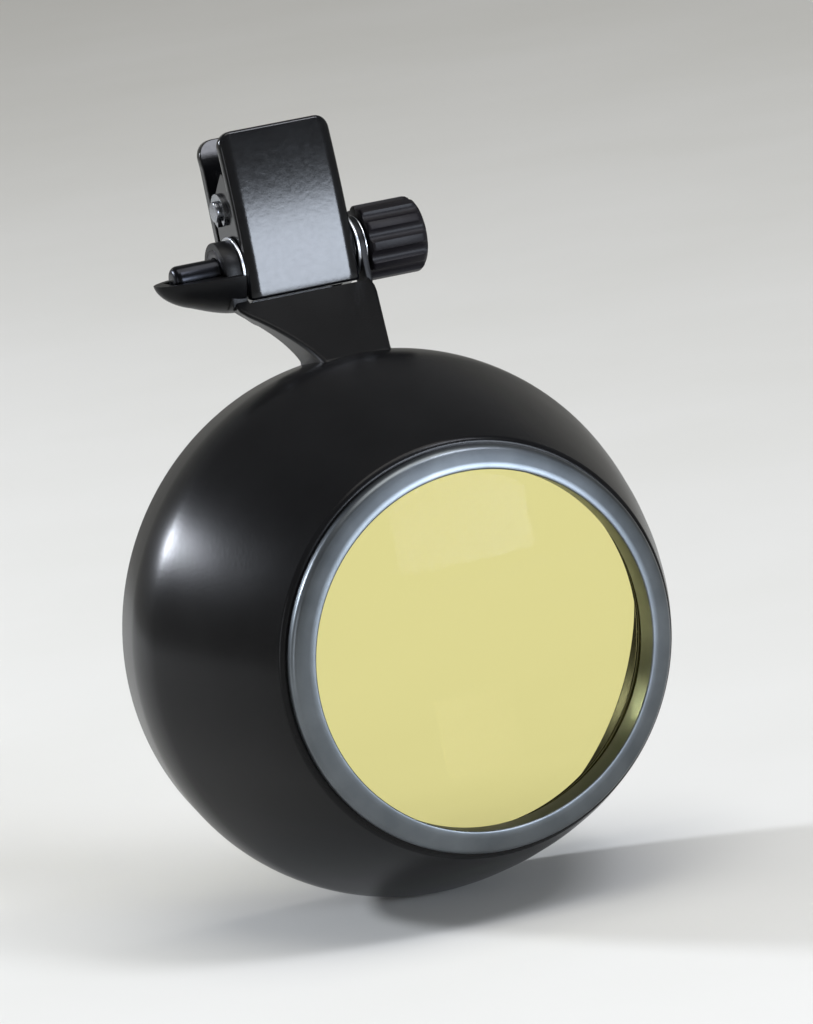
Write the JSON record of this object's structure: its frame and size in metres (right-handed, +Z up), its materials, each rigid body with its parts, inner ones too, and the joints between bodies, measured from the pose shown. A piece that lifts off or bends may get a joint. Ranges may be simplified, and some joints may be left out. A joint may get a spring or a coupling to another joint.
{
  "type": "clip-on eyeglass loupe",
  "caption": "Clip-on loupe for glasses: a black domed eye cup with a round lens and grey ring, on an arm that tilts up from a sprung clip with a ribbed side knob.",
  "frame": {"origin": "the point midway between the clip's two pads, where the rim of the glasses is gripped", "axes": "+Z up towards the clip's finger plates; the lens looks along -Y and the eye is on the +Y side; +X along the hinge axle towards the knob"},
  "size_m": [0.0386, 0.0311, 0.0542],
  "materials": {
    "cup_black": "satin-gloss moulded black",
    "optical_glass": "polished clear glass with a faint warm tint",
    "ring_grey": "turned and anodised dark grey",
    "gasket_rubber": "matt black rubber",
    "arm_black": "satin moulded black",
    "blackened_steel": "blackened steel screws",
    "knob_black": "moulded black with ribs",
    "dark_steel": "turned steel with a dark finish",
    "insert_dark": "turned brass with a black nickel plate",
    "bright_steel": "bright stamped steel",
    "clip_black_plate": "black nickel plated spring steel, polished",
    "pad_rubber": "dark grey soft rubber",
    "pin_steel": "bright drawn steel",
    "spring_steel": "spring steel wire"
  },
  "bodies": {
    "clip": {"front_jaw": "clip_black_plate", "front_pad": "pad_rubber", "axle_sleeve": "bright_steel", "jaw_pin": "pin_steel", "pin_clip": "pin_steel", "jaw_spring": "spring_steel"},
    "jaw": {"rear_jaw": "clip_black_plate", "rear_pad": "pad_rubber"},
    "loupe": {"eye_cup": "cup_black", "lens": "optical_glass", "lens_ring": "ring_grey", "lens_gasket": "gasket_rubber", "tilt_arm": "arm_black", "arm_screws": "blackened_steel", "thread_insert": "insert_dark", "thrust_washer_left": "bright_steel", "thrust_washer_right": "bright_steel", "spring_washer": "bright_steel"},
    "knob": {"tilt_knob": "knob_black", "knob_cap": "knob_black", "tilt_screw": "dark_steel"}
  },
  "joints": [
    {"name": "loupe_tilt", "type": "hinge", "parent": "clip", "child": "loupe", "pos_m": [0, -0.00181, 0.00296], "axis": [-1, 0, 0], "range_deg": [-10, 95]},
    {"name": "jaw_open", "type": "hinge", "parent": "clip", "child": "jaw", "pos_m": [0, -0.00059, 0.00701], "axis": [1, 0, 0], "range_deg": [0, 28], "stiffness_Nm_per_rad": 0.012, "springref_deg": -63.03, "deforming": ["jaw_spring"]},
    {"name": "knob_turn", "type": "hinge", "parent": "loupe", "child": "knob", "pos_m": [0, -0.00181, 0.00296], "axis": [1, 0, 0], "range_deg": [0, 180]}
  ]
}
